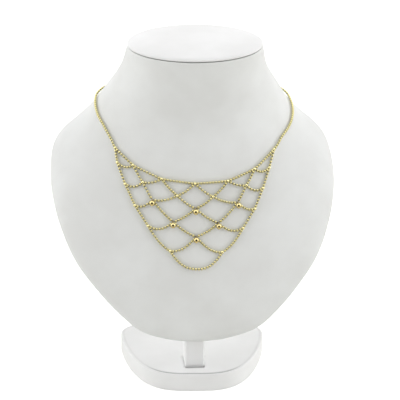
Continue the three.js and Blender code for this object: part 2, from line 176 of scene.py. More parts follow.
# seamShade is a dark colour painted as shade into seams, gaps and under edges.
leatherFinish = {
    "light": (0.85, 0.86, 0.85, 1), "shade": (0.79, 0.795, 0.78, 1), "seamShade": (0.2, 0.2, 0.19, 1),
    "grainSize": 0.9, "creaseSize": 7, "mottleSize": 45, "smoothest": 0.42, "roughest": 0.62,
    "shine": 0.1, "bumpHeight": 0.035, "bumpStrength": 0.35,
}


def makeLeatherette(name, **changes):
    values = {**leatherFinish, **changes}
    material, tree, shader = newMaterial(name)
    grain = addNode(tree, "ShaderNodeGroup", node_tree=leatherGrain)
    grain.inputs["Grain Size"].default_value = values["grainSize"] * mm
    grain.inputs["Crease Size"].default_value = values["creaseSize"] * mm
    grain.inputs["Mottle Size"].default_value = values["mottleSize"] * mm
    grain.inputs["Smoothest"].default_value = values["smoothest"]
    grain.inputs["Roughest"].default_value = values["roughest"]
    tone = addNode(tree, "ShaderNodeMapRange", (
        ("Value", grain.outputs["Mottle"]), ("From Min", 0.35), ("From Max", 0.65)), clamp=True)
    skin = addNode(tree, "ShaderNodeMix", (
        ("Factor", tone.outputs["Result"]), ("A", values["light"]), ("B", values["shade"])),
        data_type="RGBA")
    # Painted shade: the seamShade attribute darkens the skin where shade falls in seams and gaps.
    seamShade = addNode(tree, "ShaderNodeAttribute", attribute_name="seamShade")
    colour = addNode(tree, "ShaderNodeMix", (
        ("Factor", seamShade.outputs["Fac"]), ("A", skin.outputs[2]), ("B", values["seamShade"])), data_type="RGBA")
    bump = addNode(tree, "ShaderNodeBump", (
        ("Height", grain.outputs["Height"]), ("Distance", values["bumpHeight"] * mm),
        ("Strength", values["bumpStrength"])))
    tree.links.new(colour.outputs[2], shader.inputs["Base Color"])
    tree.links.new(grain.outputs["Roughness"], shader.inputs["Roughness"])
    tree.links.new(bump.outputs["Normal"], shader.inputs["Normal"])
    shader.inputs["Specular IOR Level"].default_value = values["shine"]
    return material


# creviceShade is a near-black painted as shade between the beads and on the link wire.
goldFinish = {
    "bright": (0.96, 0.89, 0.50, 1), "warm": (0.91, 0.81, 0.39, 1), "creviceShade": (0.07, 0.055, 0.015, 1),
    "markSize": 0.35, "patchSize": 5, "dullest": 0.24, "brightest": 0.14,
    "bumpHeight": 0.004, "bumpStrength": 0.25,
}


def makeGold(name, **changes):
    values = {**goldFinish, **changes}
    material, tree, shader = newMaterial(name)
    polish = addNode(tree, "ShaderNodeGroup", node_tree=polishMarks)
    polish.inputs["Mark Size"].default_value = values["markSize"] * mm
    polish.inputs["Patch Size"].default_value = values["patchSize"] * mm
    polish.inputs["Dullest"].default_value = values["dullest"]
    polish.inputs["Brightest"].default_value = values["brightest"]
    polished = addNode(tree, "ShaderNodeMix", (
        ("Factor", polish.outputs["Patches"]), ("A", values["bright"]), ("B", values["warm"])),
        data_type="RGBA")
    # Painted shade: the creviceShade attribute darkens the gold between beads and on the wire.
    creviceShade = addNode(tree, "ShaderNodeAttribute", attribute_name="creviceShade")
    colour = addNode(tree, "ShaderNodeMix", (
        ("Factor", creviceShade.outputs["Fac"]), ("A", polished.outputs[2]), ("B", values["creviceShade"])),
        data_type="RGBA")
    bump = addNode(tree, "ShaderNodeBump", (
        ("Height", polish.outputs["Height"]), ("Distance", values["bumpHeight"] * mm),
        ("Strength", values["bumpStrength"])))
    tree.links.new(colour.outputs[2], shader.inputs["Base Color"])
    tree.links.new(polish.outputs["Roughness"], shader.inputs["Roughness"])
    tree.links.new(bump.outputs["Normal"], shader.inputs["Normal"])
    shader.inputs["Metallic"].default_value = 1.0
    return material


leatherGrain = leatherGrainGroup()
polishMarks = polishMarksGroup()
bustLeather = makeLeatherette("whiteLeatherette")
# A lighter copy of the bust's leatherette for the stand and the cap: painted light.
litLeather = makeLeatherette("litLeatherette", grainSize=0.8, light=(0.92, 0.92, 0.92, 1),
                               shade=(0.87, 0.87, 0.865, 1))
chainGold = makeGold("chainGold")
# A more polished copy of the gold whose darker colour is painted shade, keeping the mirror-bright drops and
# clasp dim.
shadedGold = makeGold("shadedGold", bright=(0.66, 0.56, 0.29, 1), warm=(0.63, 0.52, 0.24, 1),
                    dullest=0.07, brightest=0.03, bumpStrength=0.1)
print("finishes made")


def meshObject(name, points, faces=(), edges=()):
    mesh = bpy.data.meshes.new(name)
    mesh.from_pydata([Vector(p) * mm for p in points], list(edges), list(faces))
    mesh.update()
    thing = bpy.data.objects.new(name, mesh)
    bpy.context.collection.objects.link(thing)
    return thing


# A closed skin through rings of equal count; seamShades holds how strongly painted shade darkens each point.
def loftObject(name, rings, material, seamShades=None):
    count = len(rings[0])
    points = [p for ring in rings for p in ring]
    faces = []
    for i in range(len(rings) - 1):
        for j in range(count):
            a, b = i * count + j, i * count + (j + 1) % count
            faces.append((a, b, b + count, a + count))
    last = (len(rings) - 1) * count
    points += [sum((Vector(p) for p in ring), Vector()) / count for ring in (rings[0], rings[-1])]
    for j in range(count):
        k = (j + 1) % count
        faces += [(k, j, len(points) - 2), (last + j, last + k, len(points) - 1)]
    thing = meshObject(name, points, faces)
    thing.data.shade_smooth()
    thing.data.materials.append(material)
    if seamShades:
        shadeValues = [depth for ring in seamShades for depth in ring] + [seamShades[0][0], seamShades[-1][0]]
        thing.data.attributes.new("seamShade", "FLOAT", "POINT").data.foreach_set("value", shadeValues)
    return thing


def finishPiece(thing, nodes):
    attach(thing, "root")
    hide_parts(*nodes)


# A modifier's inputs are named by the labels of its tree.
def setInputs(modifier, values):
    for item in modifier.node_group.interface.items_tree:
        if item.item_type == "SOCKET" and item.in_out == "INPUT" and item.name in values:
            modifier[item.identifier] = values[item.name]


# Makes a piece's mesh with a tree, and leaves a plain mesh without the modifier.
def growWith(thing, tree, values):
    modifier = thing.modifiers.new(tree.name, "NODES")
    modifier.node_group = tree
    setInputs(modifier, values)
    depsgraph = bpy.context.evaluated_depsgraph_get()
    made = bpy.data.meshes.new_from_object(thing.evaluated_get(depsgraph))
    thing.modifiers.clear()
    seed = thing.data
    thing.data = made
    bpy.data.meshes.remove(seed)
    made.name = thing.name


# A smooth curve through the rows of a table, read at any value of its first column.
def smoothTable(rows):
    def slope(i, column):
        before, after = rows[max(i - 1, 0)], rows[min(i + 1, len(rows) - 1)]
        return (after[column] - before[column]) / (after[0] - before[0])

    def read(key):
        i = 0
        while i < len(rows) - 2 and key > rows[i + 1][0]:
            i += 1
        span = rows[i + 1][0] - rows[i][0]
        t = min(max((key - rows[i][0]) / span, 0), 1)
        return [
            rows[i][c] * (1 + 2 * t) * (1 - t) ** 2 + rows[i + 1][c] * t * t * (3 - 2 * t)
            + slope(i, c) * span * t * (1 - t) ** 2 + slope(i + 1, c) * span * t * t * (t - 1)
            for c in range(1, len(rows[0]))
        ]

    return read


def lerp(a, b, t):
    return a + (b - a) * t


def smoothStep(value, low, high):
    t = min(max((value - low) / (high - low), 0), 1)
    return t * t * (3 - 2 * t)


# Level sections: height, half width, and where the front, widest line and back lie along Y.
bustShape = {
    "sections": [
        (36.5, 6, -46.5, -45, -40.5), (39, 22, -50, -46, -33.5), (46, 42, -53, -46.5, -25.5),
        (58, 57, -54.5, -44.5, -15.5), (76, 74, -54.5, -38.5, -2.5), (96, 90, -52, -27.5, 11.5),
        (118, 100.5, -47, -12.5, 26.5), (140, 106, -41.5, 3.5, 39.5), (158, 106, -36.5, 19.5, 48.5),
        (170, 102.5, -33.5, 31.5, 53), (179, 95, -32, 36.5, 55.5), (188, 84.5, -31, 36.5, 56.5),
        (200, 73.5, -30.5, 31.5, 55.5), (216, 64, -32, 21.5, 52.5), (234, 54, -35.5, 11.5, 49),
        (252, 49.5, -40.5, 2.5, 45),
    ],
    "around": 144, "levels": 110, "levelCrowding": 1.35, "topHeight": 252, "rolledEdge": 1.1,
    "neckRadius": 50, "topSunk": 1.5, "seamShareBehind": 0.35, "seamFullAhead": (-0.2, 0.9),
}
sectionAt = smoothTable(bustShape["sections"])


# Angle 0 is the middle of the chest, +90 degrees the +X side.
def bustPoint(angle, height):
    halfWidth, front, widest, back = sectionAt(height)
    reach = widest - front if cos(angle) > 0 else back - widest
    return Vector((halfWidth * sin(angle), widest - reach * cos(angle), height))


def bustNormal(angle, height):
    nudge = 0.01
    around = bustPoint(angle + nudge, height) - bustPoint(angle - nudge, height)
    up = bustPoint(angle, height + nudge) - bustPoint(angle, height - nudge)
    return around.cross(up).normalized()


def overBust(angle, height, lift):
    normal = bustNormal(angle, height)
    return bustPoint(angle, height) + normal * lift, normal


def overChest(x, height, lift):
    return overBust(asin(x / sectionAt(height)[0]), height, lift)


# The seam under the cap is painted dark as shade, fully in front and fading towards the back. seamFullAhead
# says how much a place faces forward where the painted shade starts to grow, and where it is full.
def neckSeamShade(depth):
    count = bustShape["around"]
    forward = [cos(2 * pi * (j + 0.5) / count) for j in range(count)]
    return [depth * lerp(bustShape["seamShareBehind"], 1, smoothStep(share, *bustShape["seamFullAhead"]))
            for share in forward]


# The bust's outline at a height, drawn in to a share and laid at another level if one is given.
def bustRing(height, share=1.0, level=None):
    count = bustShape["around"]
    ring = [bustPoint(2 * pi * (j + 0.5) / count, height) for j in range(count)]
    middle = sum(ring, Vector()) / count
    ring = [middle + (p - middle) * share for p in ring]
    return [Vector((p.x, p.y, height if level is None else level)) for p in ring]


def makeBust():
    size, top, bottom = bustShape, bustShape["topHeight"], bustShape["sections"][0][0]
    levels, roll, crowding = size["levels"], size["rolledEdge"], size["levelCrowding"]
    rings = [bustRing(bottom, share) for share in (0.3, 0.7)]  # the foot, closed from its middle
    rings += [bustRing(lerp(bottom, top - roll, (i / levels) ** crowding)) for i in range(levels + 1)]
    seamShades = [0.0] * len(rings)
    # The last turn of the rolled edge and the top under the cap are painted dark: painted shade under the
    # cap.
    for turn, seamShade in ((30, 0), (60, 0), (90, 0.6)):  # the leatherette rolls over the neck's edge
        share = 1 - roll * (1 - cos(radians(turn))) / size["neckRadius"]
        rings.append(bustRing(top, share, top - roll * (1 - sin(radians(turn)))))
        seamShades.append(seamShade)
    for share, drop in ((0.955, 0), (0.94, size["topSunk"]), (0.4, size["topSunk"])):  # under the cap
        rings.append(bustRing(top, share, top - drop))
        seamShades.append(1.0)
    bust = loftObject("neckBust", rings, bustLeather, [neckSeamShade(depth) for depth in seamShades])
    finishPiece(bust, ["bust_form"])


makeBust()

capShape = {"rise": 0.3, "rim": 2.9, "dome": 2.9}  # rise: how far it lies over the neck


# A thinly padded lid, wrapped and drawn in underneath, with painted shade on its underside and lowest rim.
def makeCap():
    top, rim, dome = bustShape["topHeight"], capShape["rim"], capShape["dome"]
    seat = top + capShape["rise"]
    # The third column is how strongly the underside and rim are painted dark as shade.
    profile = [  # share of the neck's outline, rise, seam
        (0.5, 0.0, 1), (0.93, 0.0, 1), (0.966, 0.0, 0.9), (0.978, 0.08, 0.6), (0.99, 0.32, 0.12),
        (0.997, 0.7, 0), (1.0, 1.15, 0), (0.998, 1.6, 0), (0.992, 2.05, 0), (0.98, rim - 0.4, 0),
        (0.962, rim, 0), (0.942, rim + dome * 0.09, 0), (0.915, rim + dome * 0.18, 0),
        (0.88, rim + dome * 0.28, 0), (0.83, rim + dome * 0.4, 0), (0.77, rim + dome * 0.52, 0),
        (0.69, rim + dome * 0.65, 0), (0.6, rim + dome * 0.76, 0), (0.49, rim + dome * 0.86, 0),
        (0.36, rim + dome * 0.94, 0), (0.2, rim + dome * 0.99, 0), (0.08, rim + dome, 0),
    ]
    rings = [bustRing(top, share, seat + rise) for share, rise, _ in profile]
    cap = loftObject("neckCap", rings, litLeather, [neckSeamShade(depth) for _, _, depth in profile])
    finishPiece(cap, ["neck_cap"])


makeCap()
print("bust and cap made")

postShape = {
    "width": 14.4, "depth": 16, "edgeRound": 1.6, "centre": (-3, -34.5), "foot": 11.6,
    "gapUnderBust": 0.35, "around": 64, "levels": 24,
}


def roundedRectangle(width, depth, radius, count, centre):
    corners = [(1, -1, -90), (1, 1, 0), (-1, 1, 90), (-1, -1, 180)]
    loop = []
    for sx, sy, start in corners:
        for i in range(count // 4):
            turn = radians(start + 90 * i / (count // 4 - 1))
            loop.append((centre[0] + sx * (width / 2 - radius) + radius * cos(turn),
                         centre[1] + sy * (depth / 2 - radius) + radius * sin(turn)))
    return loop


# How high the bust's underside is over a place on the floor.
def undersideOver(x, y):
    low, high = bustShape["sections"][0][0], bustShape["sections"][4][0]  # its foot, and over the post
    for _ in range(24):  # halves the span until nothing is left of it
        middle = (low + high) / 2
        halfWidth, front, widest, back = sectionAt(middle)
        reach = widest - front if y < widest else back - widest
        if (x / halfWidth) ** 2 + ((y - widest) / reach) ** 2 < 1:
            high = middle
        else:
            low = middle
    return low


def makePost():
    size, levels = postShape, postShape["levels"]
    loop = roundedRectangle(size["width"], size["depth"], size["edgeRound"], size["around"], size["centre"])
    tops = [undersideOver(x, y) - size["gapUnderBust"] for x, y in loop]
    rings = [[(x, y, lerp(size["foot"], top, i / levels)) for (x, y), top in zip(loop, tops)]
             for i in range(levels + 1)]
    post = loftObject("standPost", rings, litLeather)
    finishPiece(post, ["stand_post"])


makePost()

baseShape = {
    "height": 14, "halfWidth": 55, "sideFullness": 3.3, "frontFullness": 1.45, "frontReach": 21.6,
    "widestBehindPost": 50.6, "backReach": 66, "backCorner": 15, "turn": -4.3,
    "slotInFront": 2.6, "slotBeside": 0.15, "slotAround": 128, "edgeRoll": 0.9,
    "seamShareBehind": 0.12, "seamFullAhead": (0.1, 0.75), "around": 192, "panelRows": 14,
}


# A rounded nose in front, full sides and a straight back with round corners, seen from above.
def baseOutline(sweep=96, corner=14, straight=12):
    size = baseShape
    halfWidth, widest, r = size["halfWidth"], size["widestBehindPost"], size["backCorner"]
    loop = []
    for i in range(sweep + 1):
        t = pi * i / sweep
        across = abs(cos(t)) ** (2 / size["sideFullness"]) * (1 if cos(t) > 0 else -1)
        forward = abs(sin(t)) ** (2 / size["frontFullness"])
        loop.append((-halfWidth * across, widest - (widest + size["frontReach"]) * forward))
    back = size["backReach"]
    for side, start in ((1, 0), (-1, 90)):
        for i in range(corner + 1):
            turn = radians(start + 90 * i / corner)
            loop.append((side * (halfWidth - r) + r * cos(turn), back - r + r * sin(turn)))
        if side > 0:
            loop += [(lerp(halfWidth - r, r - halfWidth, i / straight), back) for i in range(1, straight)]
    turn = radians(size["turn"])
    centre = Vector(postShape["centre"])
    return [centre + Vector((x * cos(turn) - y * sin(turn), x * sin(turn) + y * cos(turn))) for x, y in loop]


# The same loop with evenly spaced points.
def evenLoop(loop, count):
    ends = loop[1:] + loop[:1]
    spans = [(b - a).length for a, b in zip(loop, ends)]
    step, even, k, walked = sum(spans) / count, [], 0, 0.0
    for i in range(count):
        while walked + spans[k] < i * step:
            walked += spans[k]
            k += 1
        even.append(loop[k].lerp(ends[k], (i * step - walked) / max(spans[k], 1e-9)))
    return even


# The loop moved inwards by a distance.
def insetLoop(loop, distance):
    moved = []
    for i, p in enumerate(loop):
        along = (loop[(i + 1) % len(loop)] - loop[i - 1]).normalized()
        moved.append(p + Vector((-along.y, along.x)) * distance)
    return moved


# A wrapped wall, a sunk seam that fades towards the sides, and the slot that the post stands in; the seam,
# the slot and the wall's foot are painted dark as shade.
def makeBase():
    size, roll, top = baseShape, baseShape["edgeRoll"], baseShape["height"]
    outline = evenLoop(baseOutline(), size["around"])
    # The third column is painted seam shade; 0.2 near the floor is painted shade along the wall's foot.
    profile = [  # inset, height, seam
        (30, 0.0, 0), (2.5, 0.0, 0), (0.9, 0.0, 0.2), (0.3, 0.25, 0), (0, 0.9, 0), (0, 3.5, 0),
        (0, 6.5, 0), (0, 9.5, 0), (0, top - roll - 1, 0), (0, top - roll, 0),
        (0.12, top - roll * 0.5, 0), (0.5, top - 0.12, 0), (roll, top, 0),
    ]
    rings = [[(p.x, p.y, height) for p in insetLoop(outline, inset)] for inset, height, _ in profile]
    seamShades = [[seamShade] * len(outline) for _, _, seamShade in profile]
    centre = Vector(postShape["centre"])
    ahead = Vector((sin(radians(size["turn"])), -cos(radians(size["turn"]))))
    forward = [(p - centre).normalized().dot(ahead) for p in outline]
    opening = [lerp(size["seamShareBehind"], 1, smoothStep(share, *size["seamFullAhead"])) for share in forward]
    # The groove's third column is painted seam shade, fading with the seam towards the sides.
    groove = [(0.35, 0.2, 0.35), (0.6, 0.8, 0.85), (1.3, 0.9, 0.85), (1.7, 0.35, 0.45),
              (2.2, 0.08, 0.1), (2.8, 0.0, 0)]  # inset, drop, seam
    for inset, drop, seamShade in groove:
        panel = insetLoop(outline, roll + inset)
        rings.append([(p.x, p.y, top - drop * share) for p, share in zip(panel, opening)])
        seamShades.append([seamShade * share for share in opening])
    front, beside = size["slotInFront"], size["slotBeside"]
    slotCentre = centre + Vector((0, (beside - front) / 2))
    slotLoop = [Vector(p) for p in roundedRectangle(
        postShape["width"] + 2 * beside, postShape["depth"] + front + beside,
        postShape["edgeRound"] + beside, size["slotAround"], slotCentre)]

    def slotToward(p):
        heading = (p - centre).normalized()
        return max(slotLoop, key=lambda q: (q - centre).normalized().dot(heading))

    slot, rows = [slotToward(p) for p in panel], size["panelRows"]
    for i in range(1, rows + 1):
        rings.append([(*p.lerp(q, i / (rows + 1)), top) for p, q in zip(panel, slot)])
        seamShades.append([0] * len(slot))
    # The slot's edge and wall are painted dark as shade in the gap round the post.
    for drop, seamShade in ((0.0, 0.2), (0.4, 0.9), (1.6, 1), (3.4, 1)):  # the slot's edge and its wall
        rings.append([(*q, top - drop) for q in slot])
        seamShades.append([seamShade] * len(slot))
    base = loftObject("standBase", rings, litLeather, seamShades)
    finishPiece(base, ["stand_base"])


makeBase()
print("stand made")

# A bead is painted darker towards the holes in its ends, between two shares of its diameter from its middle:
# painted shade where beads meet.
chainShape = {
    "beadDiameter": 2.1, "beadPitch": 2.2, "linkDiameter": 0.5, "junctionDiameter": 2.4,
    "endRoom": 2.3, "lift": 1.5, "creviceShadeFrom": 0.14, "creviceShadeTo": 0.44,
}

# The net laid flat: how far each pair of junctions lies from the middle, and how high.
# It hangs shifted to one side and askew; sway is the share of both at the ends of the collar.
netShape = {
    "places": {
        "collar0": (57.5, 179), "collar1": (44, 168.5), "collar2": (24, 161), "collar3": (0, 159),
        "edge1": (55, 168.5), "edge2": (50, 155), "edge3": (43.5, 141), "edge4": (34.5, 127.5),
        "edge5": (19, 110.5), "mesh1": (37.5, 157.5), "mesh2": (13, 150), "mesh3": (31, 146),
        "mesh4": (0, 141.5), "mesh5": (16.5, 131.5), "mesh6": (0, 121.5),
    },
    "shift": -3.4, "skew": -0.05, "sway": {"collar0": 0.55},
    "swagSag": 0.09, "edgeSwagSag": 0.2, "lowerEdgeSag": 2.4, "bottomSag": 12.4, "bottomFullness": 2.5,
}


# Where a junction hangs, as X and height, on the -X side (-1) or the +X side (1).
def hung(name, side=1):
    across, height = netShape["places"][name]
    sway = netShape["sway"].get(name, 1)
    x = side * across
    return Vector((x + netShape["shift"] * sway, height + netShape["skew"] * sway * x))


def overNet(spot):
    return overChest(spot.x, spot.y, chainShape["lift"])


# A strand's way over the chest; a fuller one hangs flatter at its lowest place.
def hangingRoute(start, end, sag=0.0, fullness=2.0, count=40):
    route = []
    for i in range(count + 1):
        t = i / count
        dip = sag * (1 - abs(2 * t - 1) ** fullness)
        route.append(overNet(Vector((lerp(start.x, end.x, t), lerp(start.y, end.y, t) - dip)))[0])
    return route


# A long level swag sags more than a short steep one.
def swagSag(start, end, ratio):
    run, rise = end.x - start.x, end.y - start.y
    return ratio * run * run / hypot(run, rise)


# Beads strung on link wire along each strand, and larger beads where strands are soldered.
def ballChainTree():
    distance, count = "NodeSocketFloat", "NodeSocketInt"
    tree, given, result = newTree("ballChain", "GeometryNodeTree", (
        ("Strands", "NodeSocketGeometry", None),
        ("Bead Diameter", distance, 0.0021), ("Bead Pitch", distance, 0.0022),
        ("Link Diameter", distance, 0.0005), ("Junction Diameter", distance, 0.0024),
        ("End Room", distance, 0.0023), ("Bead Segments", count, 10), ("Bead Rings", count, 6),
        ("Finish", "NodeSocketMaterial", None),
    ), (("Chain", "NodeSocketGeometry"),))
    given = given.outputs

    def half(socket):
        return mathNode(tree, "MULTIPLY", socket, 0.5)

    def steps(curveLength):
        exact = mathNode(tree, "DIVIDE", curveLength, given["Bead Pitch"])
        return mathNode(tree, "ADD", mathNode(tree, "ROUND", exact), 1.0)

    length = addNode(tree, "GeometryNodeSplineLength").outputs["Length"]
    strands = addNode(tree, "GeometryNodeMeshToCurve", (("Mesh", given["Strands"]),)).outputs["Curve"]
    trimmed = addNode(tree, "GeometryNodeTrimCurve", (("Curve", strands),), mode="LENGTH")
    tree.links.new(given["End Room"], trimmed.inputs[4])
    tree.links.new(mathNode(tree, "SUBTRACT", length, given["End Room"]), trimmed.inputs[5])
    strung = addNode(tree, "GeometryNodeResampleCurve",
                     (("Curve", trimmed.outputs["Curve"]), ("Count", steps(length)))).outputs["Curve"]
    bead = addNode(tree, "GeometryNodeMeshUVSphere", (
        ("Segments", given["Bead Segments"]), ("Rings", given["Bead Rings"]),
        ("Radius", half(given["Bead Diameter"])))).outputs["Mesh"]
    place = addNode(tree, "GeometryNodeInputPosition").outputs["Position"]
    along = addNode(tree, "ShaderNodeSeparateXYZ", ((0, place),)).outputs["Z"]
    depth = addNode(tree, "ShaderNodeMapRange", (
        ("Value", mathNode(tree, "ABSOLUTE", along)),
        ("From Min", mathNode(tree, "MULTIPLY", given["Bead Diameter"], chainShape["creviceShadeFrom"])),
        ("From Max", mathNode(tree, "MULTIPLY", given["Bead Diameter"], chainShape["creviceShadeTo"]))))
    bead = addNode(tree, "GeometryNodeStoreNamedAttribute", (
        ("Geometry", bead), ("Name", "creviceShade"), ("Value", depth.outputs["Result"]))).outputs["Geometry"]
    heading = addNode(tree, "FunctionNodeAlignRotationToVector", (
        ("Vector", addNode(tree, "GeometryNodeInputTangent").outputs["Tangent"]),), axis="Z")
    beads = addNode(tree, "GeometryNodeInstanceOnPoints", (
        ("Points", strung), ("Instance", bead), ("Rotation", heading.outputs["Rotation"])))
    wire = addNode(tree, "GeometryNodeResampleCurve", (("Curve", strands), ("Count", steps(length))))
    profile = addNode(tree, "GeometryNodeCurvePrimitiveCircle", (
        ("Resolution", 6), ("Radius", half(given["Link Diameter"]))))
    links = addNode(tree, "GeometryNodeCurveToMesh", (
        ("Curve", wire.outputs["Curve"]), ("Profile Curve", profile.outputs["Curve"]), ("Fill Caps", True)))
    # The link wire is painted fully dark: painted shade between the beads.
    links = addNode(tree, "GeometryNodeStoreNamedAttribute", (
        ("Geometry", links.outputs["Mesh"]), ("Name", "creviceShade"), ("Value", 1.0)))
    size = addNode(tree, "GeometryNodeInputNamedAttribute", (("Name", "junctionSize"),)).outputs["Attribute"]
    spots = addNode(tree, "GeometryNodeMeshToPoints", (
        ("Mesh", given["Strands"]),
        ("Selection", addNode(tree, "FunctionNodeCompare", ((0, size), (1, 0.0)),
                              operation="GREATER_THAN").outputs["Result"])))
    large = addNode(tree, "GeometryNodeMeshUVSphere", (
        ("Segments", 20), ("Rings", 12), ("Radius", half(given["Junction Diameter"])))).outputs["Mesh"]
    junctions = addNode(tree, "GeometryNodeInstanceOnPoints", (
        ("Points", spots.outputs["Points"]), ("Instance", large), ("Scale", size)))
    joined = addNode(tree, "GeometryNodeJoinGeometry")
    for part in (junctions.outputs["Instances"], links.outputs["Geometry"], beads.outputs["Instances"]):
        tree.links.new(part, joined.inputs[0])
    real = addNode(tree, "GeometryNodeRealizeInstances", (("Geometry", joined.outputs["Geometry"]),))
    smooth = addNode(tree, "GeometryNodeSetShadeSmooth", (("Geometry", real.outputs["Geometry"]),))
    finish = addNode(tree, "GeometryNodeSetMaterial", (
        ("Geometry", smooth.outputs["Geometry"]), ("Material", given["Finish"])))
    tree.links.new(finish.outputs["Geometry"], result.inputs["Chain"])
    return tree


ballChain = ballChainTree()


# Strands are lists of points; spots are soldered beads, as (point, size).
def makeChain(name, strands, spots, nodes):
    points, edges = [], []
    for strand in strands:
        first = len(points)
        points += strand
        edges += [(first + i, first + i + 1) for i in range(len(strand) - 1)]
    sizes = [0.0] * len(points) + [size for _, size in spots]
    points += [point for point, _ in spots]
    thing = meshObject(name, points, edges=edges)
    thing.data.attributes.new("junctionSize", "FLOAT", "POINT").data.foreach_set("value", sizes)
    growWith(thing, ballChain, {
        "Bead Diameter": chainShape["beadDiameter"] * mm, "Bead Pitch": chainShape["beadPitch"] * mm,
        "Link Diameter": chainShape["linkDiameter"] * mm, "End Room": chainShape["endRoom"] * mm,
        "Junction Diameter": chainShape["junctionDiameter"] * mm, "Finish": chainGold,
    })
    finishPiece(thing, nodes)


def junctionSpots(*names):
    return [(overNet(hung(name, side))[0], 1.0) for name, side in names]


def makeCollar():
    strands = []
    for side in (-1, 1):
        strands += [hangingRoute(hung(f"collar{k}", side), hung(f"collar{k + 1}", side)) for k in range(3)]
    spots = junctionSpots(("collar3", 1), *[(f"collar{k}", side) for k in range(3) for side in (-1, 1)])
    nodes = [f"collar_{label}_{k}" for label in ("left", "right") for k in (1, 2, 3)]
    makeChain("collarChain", strands, spots, nodes)


def makeEdge(label, side):
    strands, rows = [], range(1, 6)
    for k in rows:
        above = hung("collar0" if k == 1 else f"edge{k - 1}", side)
        sag = netShape["lowerEdgeSag"] if k == rows[-1] else 0
        strands.append(hangingRoute(above, hung(f"edge{k}", side), sag))
    spots = junctionSpots(*[(f"edge{k}", side) for k in rows])
    makeChain(f"edgeChain_{label}", strands, spots, [f"edge_{label}_{k}" for k in rows])


# The swags of a row: outer junction, the lowest place and inner junction of each.
swagRows = {
    1: [("collar1", "mesh1", "collar2"), ("collar2", "mesh2", "collar3")],
    2: [("mesh1", "mesh3", "mesh2"), ("mesh2", "mesh4", "mesh2")],
    3: [("mesh3", "mesh5", "mesh4")],
    4: [("mesh5", "mesh6", "mesh5")],
    5: [],
}
edgeSwags = {1: ("edge1", "collar1"), 2: ("edge2", "mesh1"), 3: ("edge3", "mesh3"),
             4: ("edge4", "mesh5"), 5: ("edge5", "mesh6")}
swagNodes = {
    1: ["edge_left", "edge_right", "outer_left", "outer_right", "inner_left", "inner_right"],
    2: ["edge_left", "edge_right", "outer_left", "outer_right", "middle"],
    3: ["edge_left", "edge_right", "left", "right"],
    4: ["edge_left", "edge_right", "middle"],
    5: ["edge_left", "edge_right"],
}


def makeSwagRow(row):
    strands, spots = [], []
    for side in (-1, 1):
        start, end = (hung(name, side) for name in edgeSwags[row])
        strands.append(hangingRoute(start, end, swagSag(start, end, netShape["edgeSwagSag"])))
        for outer, low, inner in swagRows[row]:
            central = outer == inner  # it spans the middle, so it is made once
            if central and side > 0:
                continue
            lowest = hung(low, side)
            for name, where in ((outer, side), (inner, -side if central else side)):
                top = hung(name, where)
                strands.append(hangingRoute(top, lowest, swagSag(top, lowest, netShape["swagSag"])))
            if low in ("mesh1", "mesh2"):  # the other low places carry a drop instead of a bead
                spots += junctionSpots((low, side))
    makeChain(f"swagRow{row}", strands, spots, [f"swag_{row}_{part}" for part in swagNodes[row]])


def makeBottom():
    sag, fullness = netShape["bottomSag"], netShape["bottomFullness"]
    route = hangingRoute(hung("edge5", -1), hung("edge5", 1), sag, fullness)
    makeChain("bottomChain", [route], [], ["edge_bottom"])


makeCollar()
makeEdge("left", -1)
makeEdge("right", 1)
for row in swagRows:
    makeSwagRow(row)
makeBottom()
print("net strung")

# The way of the chain round the neck: degrees from the front, and height.
neckChainShape = {
    "route": [(33, 175.5), (38, 179.5), (44, 184.5), (53, 189.5), (69, 196), (84, 201.5), (96, 205),
              (115, 208.5), (145, 211.5), (180, 213)],
    "joinsWithin": 20, "liftsFrom": 150, "liftsTo": 175,
    "claspLift": 1.8, "claspDiameter": 3, "claspLength": 9, "chainInClasp": 1,
}
neckRouteAt = smoothTable(neckChainShape["route"])


def neckRoute(side, count=160):
    size = neckChainShape
    start = hung("collar0", side)
    startAngle = degrees(asin(abs(start.x) / sectionAt(start.y)[0]))

    def heightAt(angle):
        height = neckRouteAt(angle)[0]
        x = side * sectionAt(height)[0] * sin(radians(angle))
        return height + netShape["skew"] * netShape["sway"]["collar0"] * x

    miss = start.y - heightAt(startAngle)
    route = []
    for i in range(count + 1):
        angle = lerp(startAngle, 180, i / count)
        joining = 1 - smoothStep(angle, startAngle, startAngle + size["joinsWithin"])
        raised = smoothStep(angle, size["liftsFrom"], size["liftsTo"])
        lift = lerp(chainShape["lift"], size["claspLift"], raised)
        route.append(overBust(side * radians(angle), heightAt(angle) + miss * joining, lift)[0])
    reach = size["claspLength"] / 2 - size["chainInClasp"]
    return [p for p in route if p.y < 0 or abs(p.x) > reach]


for label, side in (("left", -1), ("right", 1)):
    makeChain(f"neckChain_{label}", [neckRoute(side)], [], [f"neck_chain_{label}"])


def makeClasp(around=40):
    size = neckChainShape
    centre = overBust(pi, size["route"][-1][1], size["claspLift"])[0]
    radius, reach = size["claspDiameter"] / 2, size["claspLength"] / 2
    # Shares of the half length and of the radius, with a groove where the two halves screw together.
    profile = [(-1, 0.18), (-1, 0.5), (-0.97, 0.68), (-0.9, 0.82), (-0.8, 0.93), (-0.7, 0.985), (-0.6, 1),
               (-0.12, 1), (-0.07, 0.97), (-0.05, 0.86), (0.05, 0.86), (0.07, 0.97), (0.12, 1),
               (0.6, 1), (0.7, 0.985), (0.8, 0.93), (0.9, 0.82), (0.97, 0.68), (1, 0.5), (1, 0.18)]
    rings = []
    for along, wide in profile:
        rings.append([centre + Vector((along * reach, radius * wide * cos(2 * pi * j / around),
                                       radius * wide * sin(2 * pi * j / around))) for j in range(around)])
    finishPiece(loftObject("barrelClasp", rings, shadedGold), ["clasp"])


makeClasp()
print("neck chain and clasp made")

dropShape = {
    "ballDiameter": 4.4, "tipDiameter": 1.0, "ringRadius": 0.78, "ringWire": 0.36, "neckWidth": 0.7,
    "below": 2.2, "ahead": 2.5,
}


